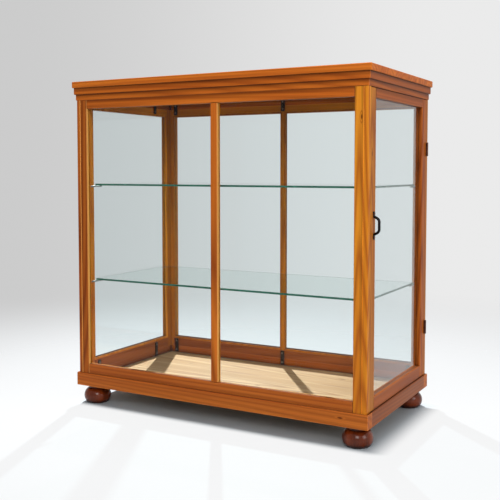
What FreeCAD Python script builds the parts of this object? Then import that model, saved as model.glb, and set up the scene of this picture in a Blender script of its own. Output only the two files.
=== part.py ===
import FreeCAD, Part
import math
import os
from types import SimpleNamespace

import Sketcher

# A free-standing glazed display case on bun feet, with two glass shelves and a hinged end door.
# +X runs along the front to the door, +Y to the back, +Z up; the origin is on the floor
# under the middle of the case.

# Driving dimensions, in millimetres.
SIZES = {
    "case_width": 1000,
    "case_depth": 525,
    "foot_height": 60,
    "foot_radius": 43.5,
    "foot_neck_radius": 27,
    "foot_neck_height": 11,
    "foot_bottom_radius": 33,
    "foot_belly_level": 23,
    "foot_inset": 41,
    "spigot_radius": 8,
    "spigot_length": 12,
    "spigot_clearance": 0.1,
    "base_height": 41.5,
    "base_overhang": 5.5,
    "base_board_thickness": 34,
    "base_edge_radius": 4,
    "floor_thickness": 18,
    "tongue_thickness": 6,
    "tongue_depth": 6,
    "frame_height": 884.5,
    "front_thickness": 17,
    "back_thickness": 28.5,
    "back_edge_thickness": 17,
    "end_thickness": 23.5,
    "stile_width": 41,
    "end_stile_width": 38,
    "top_rail_height": 27,
    "front_bottom_rail_height": 31,
    "back_bottom_rail_height": 35,
    "end_bottom_rail_height": 38,
    "mullion_width": 25,
    "mullion_shift": 18,
    "back_mullion_width": 20,
    "back_mullion_shift": 4,
    "back_mullion_setback": 11.5,
    "edge_chamfer": 2.5,
    "stile_edge_radius": 3,
    "bead_inset": 14,
    "bead_groove": 1.8,
    "rebate_width": 6,
    "front_lip": 8,
    "end_lip": 11,
    "back_lip": 18,
    "glass_thickness": 4,
    "glass_clearance": 1,
    "door_gap": 1.5,
    "door_stop_pin_clearance": 0.5,
    "door_stop_depth": 12,
    "door_stop_clearance": 0.5,
    "cornice_lower_overhang": 1.5,
    "cornice_upper_overhang": 6,
    "cornice_lower_height": 18.5,
    "cornice_upper_height": 21.5,
    "cornice_edge_radius": 3.5,
    "top_overhang": 11,
    "top_thickness": 20,
    "top_edge_radius": 3,
    "shelf_thickness": 6,
    "shelf_front_gap": 43,
    "shelf_back_gap": 31.5,
    "shelf_end_clearance": 2.5,
    "lower_shelf_rise": 322,
    "shelf_spacing": 312.5,
    "pin_radius": 2.5,
    "pin_bearing": 25,
    "pin_seat_depth": 9,
    "pin_seat_clearance": 0.05,
    "pin_wall": 2.5,
    "strap_width": 13,
    "strap_thickness": 2.5,
    "strap_end_margin": 8,
    "base_strap_length": 48,
    "base_strap_drop": 21,
    "cornice_strap_length": 40,
    "cornice_strap_drop": 19,
    "back_strap_inset": 50,
    "left_strap_front": 74,
    "left_strap_rear": 125,
    "screw_radius": 1.75,
    "screw_length": 12,
    "screw_head_radius": 3.4,
    "screw_head_height": 1.8,
    "screw_clearance": 0.1,
    "hinge_height": 40,
    "hinge_leaf_width": 20,
    "hinge_leaf_thickness": 1.6,
    "hinge_barrel_radius": 3.5,
    "hinge_pin_radius": 1.5,
    "hinge_pin_fit": 0.05,
    "hinge_pin_head": 1.5,
    "hinge_running_gap": 0.3,
    "hinge_screw_head_radius": 3,
    "hinge_screw_inset": 12,
    "hinge_screw_spacing": 24,
    "hinge_inset": 157,
    "handle_rise": 511,
    "handle_length": 65,
    "handle_reach": 16,
    "handle_bow_depth": 6.5,
    "handle_bow_rise": 11,
    "handle_bar_radius": 4.2,
    "handle_bar_inset": 7,
    "handle_plate_radius": 6,
    "handle_plate_thickness": 2.5,
    "handle_stile_inset": 24,
}


class Dim:
    """A length, held as a number and as the sheet expression that gives it."""

    def __init__(self, number, text):
        self.number = number
        self.text = text

    def __add__(self, other):
        other = as_dim(other)
        return Dim(self.number + other.number, f"({self.text} + {other.text})")

    def __radd__(self, other):
        return as_dim(other) + self

    def __sub__(self, other):
        other = as_dim(other)
        return Dim(self.number - other.number, f"({self.text} - {other.text})")

    def __rsub__(self, other):
        return as_dim(other) - self

    def __mul__(self, other):
        other = as_dim(other)
        return Dim(self.number * other.number, f"({self.text} * {other.text})")

    def __rmul__(self, other):
        return as_dim(other) * self

    def __truediv__(self, other):
        other = as_dim(other)
        return Dim(self.number / other.number, f"({self.text} / {other.text})")

    def __neg__(self):
        return as_dim(0) - self


def as_dim(value):
    return value if isinstance(value, Dim) else Dim(value, str(value))


doc = FreeCAD.newDocument("display_case")
sheet = doc.addObject("Spreadsheet::Sheet", "Sizes")
for row, (alias, number) in enumerate(SIZES.items(), start=1):
    sheet.set(f"A{row}", alias)
    sheet.set(f"B{row}", str(number))
    sheet.setAlias(f"B{row}", alias)
doc.recompute()
size = SimpleNamespace(**{name: Dim(number, f"Sizes.{name}") for name, number in SIZES.items()})

# Levels and faces that more than one piece meets.
base_level = size.foot_height
frame_level = base_level + size.base_height
cornice_level = frame_level + size.frame_height
top_level = cornice_level + size.cornice_lower_height + size.cornice_upper_height
half_width = size.case_width / 2
half_depth = size.case_depth / 2
end_front = size.front_thickness - half_depth
end_rear = half_depth - size.back_edge_thickness
end_inner = half_width - size.end_thickness
back_inner = half_depth - size.back_thickness
pin_x = half_width - size.stile_width + size.rebate_width + size.pin_wall + size.pin_radius

UP = FreeCAD.Rotation()
ALONG_X = FreeCAD.Rotation(FreeCAD.Vector(0, 1, 0), 90)
ALONG_Y = FreeCAD.Rotation(FreeCAD.Vector(1, 0, 0), -90)
AGAINST_Y = FreeCAD.Rotation(FreeCAD.Vector(1, 0, 0), 90)

subparts = []


def keep(piece, label):
    """Name a finished piece and put it on the list of sub-parts."""
    piece.Label = label
    subparts.append(piece)
    return piece


def bind(piece, **lengths):
    for prop, length in lengths.items():
        piece.setExpression(prop, as_dim(length).text)


def place(piece, x, y, z, rotation=UP):
    piece.Placement = FreeCAD.Placement(FreeCAD.Vector(), rotation)
    for axis, length in zip("xyz", (x, y, z)):
        piece.setExpression(f"Placement.Base.{axis}", as_dim(length).text)
    return piece


class Side:
    """One side of the case: u runs along it, b inwards from its outer face, z up."""

    def __init__(self, yaw, x, y):
        self.rotation = FreeCAD.Rotation(FreeCAD.Vector(0, 0, 1), yaw)
        self.cos = round(math.cos(math.radians(yaw)))
        self.sin = round(math.sin(math.radians(yaw)))
        self.x = x
        self.y = y

    def put(self, piece, u, b, z):
        x = self.x + as_dim(u) * self.cos - as_dim(b) * self.sin
        y = self.y + as_dim(u) * self.sin + as_dim(b) * self.cos
        return place(piece, x, y, z, self.rotation)


def sides_around(overhang):
    """Front, back, left and right sides of a ring of boards that overhangs the case."""
    x = half_width + overhang
    y = half_depth + overhang
    return Side(0, -x, -y), Side(180, x, y), Side(-90, -x, y), Side(90, x, -y)


def box(name, length, width, height):
    piece = doc.addObject("Part::Box", name)
    bind(piece, Length=length, Width=width, Height=height)
    return piece


def cylinder(name, radius, height):
    piece = doc.addObject("Part::Cylinder", name)
    bind(piece, Radius=radius, Height=height)
    return piece


def join(name, pieces):
    joined = doc.addObject("Part::MultiFuse", name)
    joined.Shapes = pieces
    return joined


def cut(name, base, tool):
    rest = doc.addObject("Part::Cut", name)
    rest.Base = base
    rest.Tool = tool
    return rest


def group(label, pieces):
    """Like pieces that share one node, each a separate solid."""
    together = doc.addObject("Part::Compound", label)
    together.Links = pieces
    return keep(together, label)


def hold(sketch, constraint, name, length):
    index = sketch.addConstraint(constraint)
    sketch.renameConstraint(index, name)
    sketch.setExpression(f"Constraints.{name}", length.text)


def hold_point(sketch, geometry, point, name, x, y):
    """Fix a point of the sketch at x, y from its origin."""
    for kind, length, axis in (("DistanceX", x, -2), ("DistanceY", y, -1)):
        length = as_dim(length)
        if length.text == "0":
            sketch.addConstraint(Sketcher.Constraint("PointOnObject", geometry, point, axis))
        else:
            datum = Sketcher.Constraint(kind, -1, 1, geometry, point, length.number)
            hold(sketch, datum, f"{kind}_{name}", length)


def arc_between(start, end, radius):
    """The counter-clockwise arc, under half a circle, from start to end."""
    chord = end - start
    rise = math.sqrt(max(radius ** 2 - (chord.Length / 2) ** 2, 0))
    middle = (start + end) / 2
    left = FreeCAD.Vector(-chord.y, chord.x, 0).normalize()
    centre = middle + left * rise
    first = math.atan2(start.y - centre.y, start.x - centre.x)
    last = math.atan2(end.y - centre.y, end.x - centre.x)
    circle = Part.Circle(centre, FreeCAD.Vector(0, 0, 1), radius)
    return Part.ArcOfCircle(circle, first, last)


def outline(body, name, plane, corners, radii=None, holes=(), closed=True):
    """A sketch through the corners, straight or, after the corners in radii, round."""
    radii = radii or {}
    sketch = body.newObject("Sketcher::SketchObject", name)
    support = next(f for f in body.Origin.OriginFeatures if f.Role == plane)
    sketch.AttachmentSupport = [(support, "")]
    sketch.MapMode = "FlatFace"
    points = [FreeCAD.Vector(as_dim(x).number, as_dim(y).number, 0) for x, y in corners]
    count = len(points) if closed else len(points) - 1
    for i in range(count):
        start = points[i]
        end = points[(i + 1) % len(points)]
        if i in radii:
            sketch.addGeometry(arc_between(start, end, radii[i].number))
        else:
            sketch.addGeometry(Part.LineSegment(start, end))
    for i in range(count if closed else count - 1):
        sketch.addConstraint(Sketcher.Constraint("Coincident", i, 2, (i + 1) % count, 1))
    for i, (x, y) in enumerate(corners):
        geometry, point = (i, 1) if i < count else (i - 1, 2)
        hold_point(sketch, geometry, point, f"corner{i}", x, y)
    for i, radius in radii.items():
        hold(sketch, Sketcher.Constraint("Radius", i, radius.number), f"radius{i}", radius)
    for i, (x, y, radius) in enumerate(holes):
        circle(sketch, f"hole{i}", x, y, radius)
    return sketch


def circle(sketch, name, x, y, radius):
    centre = FreeCAD.Vector(as_dim(x).number, as_dim(y).number, 0)
    geometry = sketch.addGeometry(Part.Circle(centre, FreeCAD.Vector(0, 0, 1), radius.number))
    hold_point(sketch, geometry, 3, name, x, y)
    hold(sketch, Sketcher.Constraint("Radius", geometry, radius.number), f"radius_{name}", radius)


def new_body(name):
    return doc.addObject("PartDesign::Body", name)


def pad(body, name, sketch, length, both_ways=False):
    feature = body.newObject("PartDesign::Pad", name)
    feature.Profile = sketch
    bind(feature, Length=length)
    if both_ways:
        feature.SideType = "Symmetric"
    return feature


def turn(body, name, sketch):
    """A full turn of the sketch about its upright axis."""
    feature = body.newObject("PartDesign::Revolution", name)
    feature.Profile = sketch
    feature.ReferenceAxis = (sketch, ["V_Axis"])
    feature.Angle = 360
    return feature


def round_edges(body, feature, name, radius, chosen):
    """Round the edges of the feature that the test picks."""
    doc.recompute()
    edges = [f"Edge{i}" for i, edge in enumerate(feature.Shape.Edges, start=1) if chosen(edge)]
    rounding = body.newObject("PartDesign::Fillet", name)
    rounding.Base = (feature, edges)
    bind(rounding, Radius=radius)


def arc_radius(depth, length):
    """Radius of the arc that runs along an edge at one end and is a depth away from it after a length."""
    return (depth * depth + length * length) / (depth * 2)


def bun_foot(label, x, y):
    """Turned bun foot: a round belly, a short neck and a spigot for the floor board."""
    body = new_body(label)
    neck = size.foot_neck_radius
    bottom = size.foot_bottom_radius
    belly = size.foot_belly_level
    shoulder = size.foot_height - size.foot_neck_height
    lower_curve = arc_radius(size.foot_radius - bottom, belly)
    upper_curve = arc_radius(size.foot_radius - neck, shoulder - belly)
    spigot_top = size.foot_height + size.spigot_length
    corners = [
        (0, 0),
        (bottom, 0),
        (size.foot_radius, belly),
        (neck, shoulder),
        (neck, size.foot_height),
        (size.spigot_radius, size.foot_height),
        (size.spigot_radius, spigot_top),
        (0, spigot_top),
    ]
    turn(body, f"{label}_turn", outline(body, f"{label}_shape", "XZ_Plane", corners,
                                                {1: lower_curve, 2: upper_curve}))
    keep(place(body, x, y, 0), label)


def feet():
    x = half_width - size.foot_inset
    y = half_depth - size.foot_inset
    places = []
    for end, foot_y in (("front", -y), ("rear", y)):
        for hand, foot_x in (("left", -x), ("right", x)):
            bun_foot(f"{end}_{hand}_foot", foot_x, foot_y)
            places.append((foot_x, foot_y))
    return places


def base_board(label, side, start, length, thickness, groove_length):
    """Base board with a rounded top edge and a groove that holds the floor board's tongue."""
    body = new_body(f"{label}_body")
    height = size.base_height
    radius = size.base_edge_radius
    corners = [(0, 0), (thickness, 0), (thickness, height), (radius, height), (0, height - radius)]
    sketch = outline(body, f"{label}_shape", "YZ_Plane", corners, {3: radius})
    pad(body, f"{label}_pad", sketch, length)
    side.put(body, start, 0, base_level)
    groove = box(f"{label}_groove", groove_length, size.tongue_depth, size.tongue_thickness)
    groove_start = start + (length - groove_length) / 2
    groove_level = base_level + (size.floor_thickness - size.tongue_thickness) / 2
    side.put(groove, groove_start, thickness - size.tongue_depth, groove_level)
    keep(cut(label, body, groove), label)


def base_and_floor(foot_places):
    over = size.base_overhang
    thickness = size.base_board_thickness
    end_board = size.end_thickness + over
    outer_x = size.case_width + over * 2
    outer_y = size.case_depth + over * 2
    floor_x = outer_x - end_board * 2
    floor_y = outer_y - thickness * 2
    tongue_x = floor_x + size.tongue_depth * 2
    tongue_y = floor_y + size.tongue_depth * 2
    front, back, left, right = sides_around(over)
    base_board("base_front_board", front, as_dim(0), outer_x, thickness, tongue_x)
    base_board("base_back_board", back, as_dim(0), outer_x, thickness, tongue_x)
    base_board("base_left_board", left, thickness, floor_y, end_board, floor_y)
    base_board("base_right_board", right, thickness, floor_y, end_board, floor_y)

    board = place(box("floor_board", floor_x, floor_y, size.floor_thickness),
                  -floor_x / 2, -floor_y / 2, base_level)
    tongue_level = base_level + (size.floor_thickness - size.tongue_thickness) / 2
    tongue = place(box("floor_tongue", tongue_x, tongue_y, size.tongue_thickness),
                   -tongue_x / 2, -tongue_y / 2, tongue_level)
    hole_radius = size.spigot_radius + size.spigot_clearance
    holes = [place(cylinder("spigot_hole", hole_radius, size.spigot_length), x, y, base_level)
             for x, y in foot_places]
    floor = cut("floor_panel", join("floor_with_tongue", [board, tongue]), join("spigot_holes", holes))
    keep(floor, "floor_panel")


def stile_corners(width, thickness, lip, inner_edge_first, bead, shoulder):
    """Section of an upright: chamfered sight edge, glass rebate, and a bead line or a shoulder."""
    chamfer = size.edge_chamfer
    rebate = size.rebate_width
    groove = size.bead_groove
    bead_line = width - size.bead_inset

    def across(distance):
        """Place a distance from the sight edge on the side that this upright's edge is on."""
        if inner_edge_first:
            return distance
        return 0 if distance is width else width - distance

    corners = [(across(as_dim(0)), chamfer), (across(chamfer), 0)]
    if bead:
        corners += [(across(bead_line - groove), 0), (across(bead_line), groove),
                    (across(bead_line + groove), 0)]
    corners.append((across(width), 0))
    if shoulder:
        step = width - size.end_thickness
        corners += [(across(width), size.back_edge_thickness), (across(step), size.back_edge_thickness),
                    (across(step), thickness)]
    else:
        corners.append((across(width), thickness))
    return corners + [(across(rebate), thickness), (across(rebate), lip), (across(as_dim(0)), lip)]


def stile(label, side, u, z, height, frame, inner_edge_first):
    body = new_body(f"{label}_body")
    corners = stile_corners(frame.stile, frame.thickness, frame.lip, inner_edge_first,
                            frame.bead, frame.shoulder)
    post = pad(body, f"{label}_pad", outline(body, f"{label}_shape", "XY_Plane", corners), height)
    if frame.rounded:
        outer_edge = FreeCAD.Vector(frame.stile.number if inner_edge_first else 0, 0, height.number / 2)
        round_edges(body, post, f"{label}_rounding", size.stile_edge_radius,
                    lambda edge: (edge.CenterOfMass - outer_edge).Length < size.stile_edge_radius.number / 2)
    return side.put(body, u, 0, z)


def rail(label, side, u, z, length, height, frame, sight_edge_up):
    """Rail between two stiles; behind the glass line it reaches into their rebates."""
    body = new_body(label)
    chamfer = size.edge_chamfer
    rebate = size.rebate_width

    def level(distance):
        """Turn a distance from the sight edge into a height in the rail."""
        if not sight_edge_up:
            return distance
        return 0 if distance is height else height - distance

    front = [(chamfer, level(as_dim(0))), (0, level(chamfer)), (0, level(height)),
             (frame.thickness, level(height)), (frame.thickness, level(rebate)),
             (frame.lip, level(rebate)), (frame.lip, level(as_dim(0)))]
    back = [(frame.lip, level(rebate)), (frame.lip, level(height)),
            (frame.thickness, level(height)), (frame.thickness, level(rebate))]
    pad(body, f"{label}_pad", outline(body, f"{label}_shape", "YZ_Plane", front), length, True)
    long_side = length + rebate * 2
    pad(body, f"{label}_back", outline(body, f"{label}_back_shape", "YZ_Plane", back), long_side, True)
    return keep(side.put(body, u + length / 2, 0, z), label)


def mullion(label, side, u, z, width, height, frame):
    """Upright bar between two panes, rebated on both sides."""
    body = new_body(label)
    chamfer = size.edge_chamfer
    rebate = size.rebate_width
    face = frame.mullion_setback
    inner = width - rebate
    front = [(chamfer, face), (width - chamfer, face), (width, face + chamfer), (width, frame.lip),
             (inner, frame.lip), (inner, frame.thickness), (rebate, frame.thickness),
             (rebate, frame.lip), (0, frame.lip), (0, face + chamfer)]
    back = [(rebate, frame.lip), (inner, frame.lip), (inner, frame.thickness), (rebate, frame.thickness)]
    pad(body, f"{label}_pad", outline(body, f"{label}_shape", "XY_Plane", front), height, True)
    long_side = height + rebate * 2
    pad(body, f"{label}_back", outline(body, f"{label}_back_shape", "XY_Plane", back), long_side, True)
    return keep(side.put(body, u, 0, z + height / 2), label)


def pane(label, side, u, z, width, height, frame):
    """Glass in its rebate, with a little play at its edges, and the four beads that hold it."""
    rebate = size.rebate_width
    play = size.glass_clearance
    reach = rebate - play
    glass = box(label, width + reach * 2, size.glass_thickness, height + reach * 2)
    keep(side.put(glass, u - reach, frame.lip, z - reach), label)
    depth = frame.lip + size.glass_thickness
    thickness = frame.thickness - depth
    beads = []
    for bead_u in (u - rebate, u + width):
        upright = box(f"{label}_bead", rebate, thickness, height + rebate * 2)
        beads.append(side.put(upright, bead_u, depth, z - rebate))
    for bead_z in (z - rebate, z + height):
        level = box(f"{label}_bead", width, thickness, rebate)
        beads.append(side.put(level, u, depth, bead_z))
    return beads


def glazed_front(label, side, left_hand, right_hand, frame):
    """Front or back of the case: two stiles, two rails, a mullion and two panes."""
    first = stile(f"{label}_{left_hand}_stile", side, as_dim(0), frame_level, size.frame_height, frame, False)
    last_u = size.case_width - frame.stile
    last = stile(f"{label}_{right_hand}_stile", side, last_u, frame_level, size.frame_height, frame, True)
    opening = size.case_width - frame.stile * 2
    rail(f"{label}_bottom_rail", side, frame.stile, frame_level, opening, frame.bottom_rail, frame, True)
    top_rail_level = cornice_level - frame.top_rail
    rail(f"{label}_top_rail", side, frame.stile, top_rail_level, opening, frame.top_rail, frame, False)
    sight_level = frame_level + frame.bottom_rail
    sight_height = top_rail_level - sight_level
    bar = frame.mullion
    bar_u = half_width + frame.mullion_shift - bar / 2
    mullion(f"{label}_mullion", side, bar_u, sight_level, bar, sight_height, frame)
    first_width = bar_u - frame.stile
    second_u = bar_u + bar
    second_width = last_u - second_u
    beads = pane(f"{label}_{left_hand}_glass", side, frame.stile, sight_level, first_width, sight_height, frame)
    beads += pane(f"{label}_{right_hand}_glass", side, second_u, sight_level, second_width, sight_height, frame)
    group(f"{label}_glazing_beads", beads)
    return first, last


def glazed_end(label, side, left_hand, right_hand, z, length, height, frame):
    """End of the case, fixed or a door: two stiles, two rails and a pane."""
    first = stile(f"{label}_{left_hand}_stile", side, as_dim(0), z, height, frame, False)
    last_u = length - frame.stile
    last = stile(f"{label}_{right_hand}_stile", side, last_u, z, height, frame, True)
    opening = length - frame.stile * 2
    rail(f"{label}_bottom_rail", side, frame.stile, z, opening, frame.bottom_rail, frame, True)
    top_rail_level = z + height - frame.top_rail
    rail(f"{label}_top_rail", side, frame.stile, top_rail_level, opening, frame.top_rail, frame, False)
    sight_level = z + frame.bottom_rail
    sight_height = top_rail_level - sight_level
    beads = pane(f"{label}_glass", side, frame.stile, sight_level, opening, sight_height, frame)
    group(f"{label}_glazing_beads", beads)
    return first, last


def glazed_frames():
    """The four glazed frames; the stiles that take shelf pins or hinges are handed back uncut."""
    front_frame = SimpleNamespace(
        thickness=size.front_thickness, lip=size.front_lip, stile=size.stile_width,
        top_rail=size.top_rail_height, bottom_rail=size.front_bottom_rail_height, bead=True, shoulder=False,
        rounded=True, mullion=size.mullion_width, mullion_shift=size.mullion_shift, mullion_setback=as_dim(0))
    back_frame = SimpleNamespace(
        thickness=size.back_thickness, lip=size.back_lip, stile=size.stile_width,
        top_rail=size.top_rail_height, bottom_rail=size.back_bottom_rail_height, bead=False, shoulder=True,
        rounded=True, mullion=size.back_mullion_width, mullion_shift=size.back_mullion_shift,
        mullion_setback=size.back_mullion_setback)
    left_frame = SimpleNamespace(
        thickness=size.end_thickness, lip=size.end_lip, stile=size.end_stile_width,
        top_rail=size.top_rail_height, bottom_rail=size.end_bottom_rail_height, bead=False, shoulder=False,
        rounded=False)
    door_frame = SimpleNamespace(
        thickness=size.end_thickness - size.door_stop_clearance, lip=size.end_lip, stile=size.end_stile_width,
        top_rail=size.top_rail_height - size.door_gap,
        bottom_rail=size.end_bottom_rail_height - size.door_gap, bead=False, shoulder=False, rounded=False)

    front_side = Side(0, -half_width, -half_depth)
    back_side = Side(180, half_width, half_depth)
    left_side = Side(-90, -half_width, end_rear)
    door_side = Side(90, half_width, end_front + size.door_gap)
    front_left, front_right = glazed_front("front", front_side, "left", "right", front_frame)
    back_right, back_left = glazed_front("back", back_side, "right", "left", back_frame)
    end_length = end_rear - end_front
    left_rear, left_front = glazed_end("left", left_side, "rear", "front", frame_level, end_length,
                                       size.frame_height, left_frame)
    door_length = end_length - size.door_gap * 2
    door_height = size.frame_height - size.door_gap * 2
    door_front, door_rear = glazed_end("door", door_side, "front", "rear", frame_level + size.door_gap,
                                       door_length, door_height, door_frame)
    keep(left_front, "left_front_stile")
    keep(left_rear, "left_rear_stile")
    keep(door_front, "door_front_stile")
    return {"front_left_stile": front_left, "front_right_stile": front_right, "back_left_stile": back_left,
            "back_right_stile": back_right, "door_rear_stile": door_rear}


def door_stop():
    """Strip behind the front frame that the door closes against."""
    inner_face = pin_x + size.pin_radius + size.door_stop_pin_clearance
    strip = box("door_stop", end_inner - inner_face, size.door_stop_depth, size.frame_height)
    keep(place(strip, inner_face, end_front, frame_level), "door_stop")


def cornice_board(label, side, length, depth):
    """Two-stepped cornice board with rounded lower edges, mitred at both ends."""
    body = new_body(label)
    radius = size.cornice_edge_radius
    step = size.cornice_upper_overhang - size.cornice_lower_overhang
    low = size.cornice_lower_height
    high = low + size.cornice_upper_height
    corners = [(step + radius, 0), (depth, 0), (depth, high), (0, high), (0, low + radius),
               (radius, low), (step, low), (step, radius)]
    sketch = outline(body, f"{label}_shape", "YZ_Plane", corners, {4: radius, 7: radius})
    pad(body, f"{label}_pad", sketch, length)
    mitres = {"start": [(0, 0), (depth, depth), (0, depth)],
              "end": [(length, 0), (length, depth), (length - depth, depth)]}
    for end, triangle in mitres.items():
        feature = body.newObject("PartDesign::Pocket", f"{label}_{end}_mitre")
        feature.Profile = outline(body, f"{label}_{end}_mitre_shape", "XY_Plane", triangle)
        feature.Type = "ThroughAll"
        feature.SideType = "Symmetric"
    keep(side.put(body, 0, 0, cornice_level), label)


def cornice_and_top():
    over = size.cornice_upper_overhang
    front, back, left, right = sides_around(over)
    long_side = size.case_width + over * 2
    short_side = size.case_depth + over * 2
    long_depth = over + size.back_thickness
    short_depth = over + size.end_thickness
    cornice_board("cornice_front", front, long_side, long_depth)
    cornice_board("cornice_back", back, long_side, long_depth)
    cornice_board("cornice_left", left, short_side, short_depth)
    cornice_board("cornice_right", right, short_side, short_depth)

    body = new_body("top_board")
    length = size.case_width + size.top_overhang * 2
    width = size.case_depth + size.top_overhang * 2
    corners = [(0, 0), (length, 0), (length, width), (0, width)]
    board = pad(body, "top_pad", outline(body, "top_shape", "XY_Plane", corners), size.top_thickness)
    round_edges(body, board, "top_rounding", size.top_edge_radius, lambda edge: True)
    keep(place(body, -length / 2, -width / 2, top_level), "top_board")


def shelf_rod(name, radius, length, x, y, level, rotation):
    return place(cylinder(name, radius, length), x, y, level, rotation)


def shelves(stile_cuts):
    """Two loose glass shelves, each on four steel pins that are let into the front and back stiles."""
    length = (end_inner - size.shelf_end_clearance) * 2
    front_edge = end_front + size.shelf_front_gap
    depth = back_inner - size.shelf_back_gap - front_edge
    seat = size.pin_seat_depth
    hole_radius = size.pin_radius + size.pin_seat_clearance
    lower_level = base_level + size.floor_thickness + size.lower_shelf_rise
    pins = []
    for label, level in (("lower_shelf", lower_level), ("upper_shelf", lower_level + size.shelf_spacing)):
        shelf = box(label, length, depth, size.shelf_thickness)
        keep(place(shelf, -length / 2, front_edge, level), label)
        pin_level = level - size.pin_radius
        rows = (("front", end_front - seat, seat + size.shelf_front_gap + size.pin_bearing, ALONG_Y),
                ("back", back_inner + seat, seat + size.shelf_back_gap + size.pin_bearing, AGAINST_Y))
        for row, y, pin_length, rotation in rows:
            for hand, x in (("left", -pin_x), ("right", pin_x)):
                name = f"{label}_{row}_{hand}_pin"
                pins.append(shelf_rod(name, size.pin_radius, pin_length, x, y, pin_level, rotation))
                hole = shelf_rod(f"{name}_hole", hole_radius, seat, x, y, pin_level, rotation)
                stile_cuts[f"{row}_{hand}_stile"].append(hole)
    group("shelf_pins", pins)


def wood_screw(name, x, y, z, rotation):
    """Round-head wood screw: its point is at its origin, and its head lies along the rotation."""
    body = new_body(name)
    head = size.screw_head_radius
    corners = [(0, 0), (size.screw_radius, 0), (size.screw_radius, size.screw_length),
               (head, size.screw_length), (head * 0.6, size.screw_length + size.screw_head_height),
               (0, size.screw_length + size.screw_head_height)]
    turn(body, f"{name}_turn", outline(body, f"{name}_shape", "XZ_Plane", corners))
    return place(body, x, y, z, rotation)


def strap_with_screws(name, side, u, inner_face, z, length):
    """Flat steel strap upright on an inner face, with a screw near each end."""
    body = new_body(name)
    width = size.strap_width
    hole = size.screw_radius + size.screw_clearance
    levels = (size.strap_end_margin, length - size.strap_end_margin)
    corners = [(0, 0), (width, 0), (width, length), (0, length)]
    holes = [(width / 2, level, hole) for level in levels]
    sketch = outline(body, f"{name}_shape", "XZ_Plane", corners, holes=holes)
    pad(body, f"{name}_pad", sketch, size.strap_thickness)
    face = inner_face + size.strap_thickness
    side.put(body, u - width / 2, face, z)
    screws = []
    for level in levels:
        screw = wood_screw(f"{name}_screw", 0, 0, 0, UP)
        side.put(screw, u, face - size.screw_length, z + level)
        screw.Placement = FreeCAD.Placement(FreeCAD.Vector(), side.rotation * ALONG_Y)
        screws.append(screw)
    return body, screws


def straps():
    """Steel straps that tie the back and left frames to the base below and the cornice above."""
    back = Side(180, half_width, half_depth)
    left = Side(-90, -half_width, half_depth)
    places = [(back, size.back_strap_inset, size.back_thickness),
              (back, half_width + size.back_mullion_shift, size.back_thickness),
              (back, size.case_width - size.back_strap_inset, size.back_thickness),
              (left, size.left_strap_rear, size.end_thickness),
              (left, size.case_depth - size.left_strap_front, size.end_thickness)]
    levels = {"base": (frame_level - size.base_strap_drop, size.base_strap_length),
              "cornice": (cornice_level - size.cornice_strap_drop, size.cornice_strap_length)}
    screws = []
    for where, (z, length) in levels.items():
        plates = []
        for side, u, inner_face in places:
            plate, plate_screws = strap_with_screws(f"{where}_strap", side, u, inner_face, z, length)
            plates.append(plate)
            screws += plate_screws
        group(f"{where}_straps", plates)
    group("strap_screws", screws)


def flat_screw(name, x, y, z, rotation):
    """Countersunk screw: its point is at its origin, and its head lies along the rotation."""
    body = new_body(name)
    depth = size.screw_length - size.hinge_leaf_thickness
    corners = [(0, 0), (size.screw_radius, 0), (size.screw_radius, depth),
               (size.hinge_screw_head_radius, size.screw_length), (0, size.screw_length)]
    turn(body, f"{name}_turn", outline(body, f"{name}_shape", "XZ_Plane", corners))
    return place(body, x, y, z, rotation)


def hinge_leaf(name, plate_y, z, axis_x, axis_y, knuckles, screws):
    """Hinge leaf: a plate, and a knuckle at each of the given height spans, bored for the pin."""
    thickness = size.hinge_leaf_thickness
    plate_x = half_width - size.hinge_leaf_width
    low = z - size.hinge_height / 2
    pieces = [place(box(f"{name}_plate", size.hinge_leaf_width, thickness, size.hinge_height),
                    plate_x, plate_y, low)]
    for start, height in knuckles:
        arm = box(f"{name}_arm", axis_x - half_width, thickness, height)
        pieces.append(place(arm, half_width, plate_y, low + start))
        barrel = cylinder(f"{name}_barrel", size.hinge_barrel_radius, height)
        pieces.append(place(barrel, axis_x, axis_y, low + start))
    bore = cylinder(f"{name}_bore", size.hinge_pin_radius + size.hinge_pin_fit, size.hinge_height)
    place(bore, axis_x, axis_y, low)
    return cut(f"{name}_leaf", join(f"{name}_solid", pieces), join(f"{name}_holes", [bore] + screws))


def hinge_pin(name, x, y, z):
    head = size.hinge_pin_head
    low = z - size.hinge_height / 2
    shank = place(cylinder(f"{name}_shank", size.hinge_pin_radius, size.hinge_height), x, y, low)
    heads = [place(cylinder(f"{name}_head", size.hinge_barrel_radius, head), x, y, level)
             for level in (low - head, low + size.hinge_height)]
    return join(name, [shank] + heads)


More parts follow.
